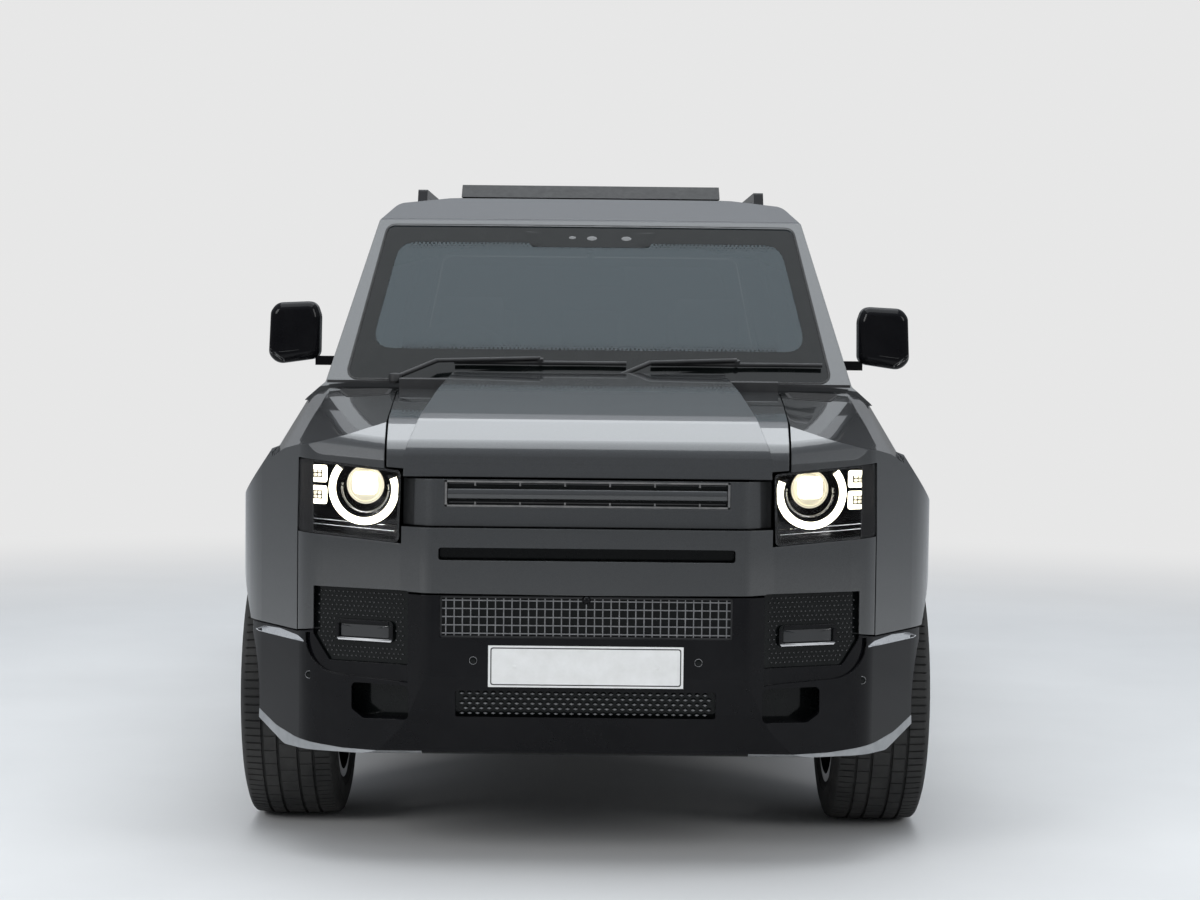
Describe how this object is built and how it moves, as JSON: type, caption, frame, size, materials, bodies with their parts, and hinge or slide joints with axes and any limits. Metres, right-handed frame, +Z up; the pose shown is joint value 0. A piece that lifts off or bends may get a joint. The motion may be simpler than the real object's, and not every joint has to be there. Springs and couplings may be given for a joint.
{
  "type": "long-wheelbase five-door sport utility vehicle",
  "caption": "Boxy five-door off-road wagon with a side-hinged tailgate, an external spare wheel, an open sunroof, working doors, bonnet and steering.",
  "frame": {"origin": "on the ground under the middle of the overall box", "axes": "+Z up, the nose points to -Y, the vehicle's left side is +X"},
  "size_m": [2.1038, 5.0172, 1.9703],
  "materials": {
    "paint": "dark grey metallic, gloss",
    "gloss_black": "gloss",
    "black_plastic": "satin",
    "chassis": "matt black",
    "steel": "machined",
    "silver": "satin silver",
    "glass": "tinted",
    "lamp_clear": "clear",
    "lamp_body": "dark, gloss",
    "lamp_red": "red, gloss",
    "tyre": "matt",
    "rim": "gloss black lacquer",
    "seat": "black, grained",
    "trim": "soft, grained",
    "plate": "white, blank",
    "cast": "cast"
  },
  "bodies": {
    "body": {"body_shell": "paint", "bumper_lower": "gloss_black", "bumper_upper": "paint", "dashboard": "trim", "engine_block": "cast", "exhaust": "steel", "fog_lamp_pods": "black_plastic", "front_axle": "chassis", "front_seats": "seat", "front_wings": "paint", "grilles": "black_plastic", "headlamp_covers": "lamp_clear", "headlamps": "lamp_body", "nose_panel": "paint", "number_plates": "plate", "quarter_glass": "glass", "rear_axle": "chassis", "rear_bumper": "paint", "rear_seats": "seat", "roof_panel": "paint", "roof_rails": "gloss_black", "scuttle_panel": "black_plastic", "skid_strip": "silver", "sunroof": "gloss_black", "tail_lamps": "lamp_red", "underbody": "chassis", "windscreen": "glass", "wipers": "black_plastic"},
    "bonnet": {"bonnet": "paint"},
    "tailgate": {"tailgate": "paint", "tailgate_glass": "glass", "spare_tyre": "tyre", "spare_rim": "rim"},
    "steering_wheel": {"steering_wheel": "trim"},
    "tie_rods": {"tie_rods": "steel"},
    "door_front_left": {"door_front_left": "paint", "door_glass_front_left": "glass", "mirror_left": "gloss_black"},
    "door_rear_left": {"door_rear_left": "paint", "door_glass_rear_left": "glass"},
    "knuckle_left": {"knuckle_left": "cast"},
    "wheel_front_left": {"tyre_front_left": "tyre", "rim_front_left": "rim"},
    "wheel_rear_left": {"tyre_rear_left": "tyre", "rim_rear_left": "rim"},
    "door_front_right": {"door_front_right": "paint", "door_glass_front_right": "glass", "mirror_right": "gloss_black"},
    "door_rear_right": {"door_rear_right": "paint", "door_glass_rear_right": "glass"},
    "knuckle_right": {"knuckle_right": "cast"},
    "wheel_front_right": {"tyre_front_right": "tyre", "rim_front_right": "rim"},
    "wheel_rear_right": {"tyre_rear_right": "tyre", "rim_rear_right": "rim"}
  },
  "joints": [
    {"name": "bonnet_hinge", "type": "hinge", "parent": "body", "child": "bonnet", "pos_m": [0, -1.194, 1.319], "axis": [-1, 0, 0], "range_deg": [0, 50]},
    {"name": "tailgate_hinge", "type": "hinge", "parent": "body", "child": "tailgate", "pos_m": [-0.79, 2.186, 1], "axis": [0, 0, 1], "range_deg": [0, 88]},
    {"name": "steer_left", "type": "hinge", "parent": "body", "child": "knuckle_left", "pos_m": [0.795, -1.664, 0.403], "axis": [0, 0, 1], "range_deg": [-33, 33]},
    {"name": "steer_right", "type": "hinge", "parent": "body", "child": "knuckle_right", "pos_m": [-0.795, -1.664, 0.403], "axis": [0, 0, 1], "range_deg": [-33, 33]},
    {"name": "steering_wheel_turn", "type": "hinge", "parent": "body", "child": "steering_wheel", "pos_m": [-0.445, -0.559, 1.31], "axis": [0, 0.9063, 0.4226], "range_deg": [-490, 490]},
    {"name": "rack_slide", "type": "slide", "parent": "body", "child": "tie_rods", "axis": [1, 0, 0], "range_m": [-0.064, 0.064]},
    {"name": "door_front_left_hinge", "type": "hinge", "parent": "body", "child": "door_front_left", "pos_m": [0.95, -1.052, 0.9], "axis": [0, 0, -1], "range_deg": [0, 70]},
    {"name": "door_rear_left_hinge", "type": "hinge", "parent": "body", "child": "door_rear_left", "pos_m": [0.95, -0.034, 0.9], "axis": [0, 0, -1], "range_deg": [0, 70]},
    {"name": "wheel_front_left_spin", "type": "hinge", "parent": "knuckle_left", "child": "wheel_front_left", "pos_m": [0.852, -1.664, 0.403], "axis": [1, 0, 0], "continuous": true},
    {"name": "wheel_rear_left_spin", "type": "hinge", "parent": "body", "child": "wheel_rear_left", "pos_m": [0.852, 1.358, 0.403], "axis": [1, 0, 0], "continuous": true},
    {"name": "door_front_right_hinge", "type": "hinge", "parent": "body", "child": "door_front_right", "pos_m": [-0.95, -1.052, 0.9], "axis": [0, 0, 1], "range_deg": [0, 70]},
    {"name": "door_rear_right_hinge", "type": "hinge", "parent": "body", "child": "door_rear_right", "pos_m": [-0.95, -0.034, 0.9], "axis": [0, 0, 1], "range_deg": [0, 70]},
    {"name": "wheel_front_right_spin", "type": "hinge", "parent": "knuckle_right", "child": "wheel_front_right", "pos_m": [-0.852, -1.664, 0.403], "axis": [1, 0, 0], "continuous": true},
    {"name": "wheel_rear_right_spin", "type": "hinge", "parent": "body", "child": "wheel_rear_right", "pos_m": [-0.852, 1.358, 0.403], "axis": [1, 0, 0], "continuous": true}
  ],
  "couplings": [
    {"joint": "steer_right", "follows": "steer_left", "ratio": 1},
    {"joint": "steering_wheel_turn", "follows": "steer_left", "ratio": 14.6},
    {"joint": "rack_slide", "follows": "steer_left", "m_per_rad": -0.11}
  ]
}
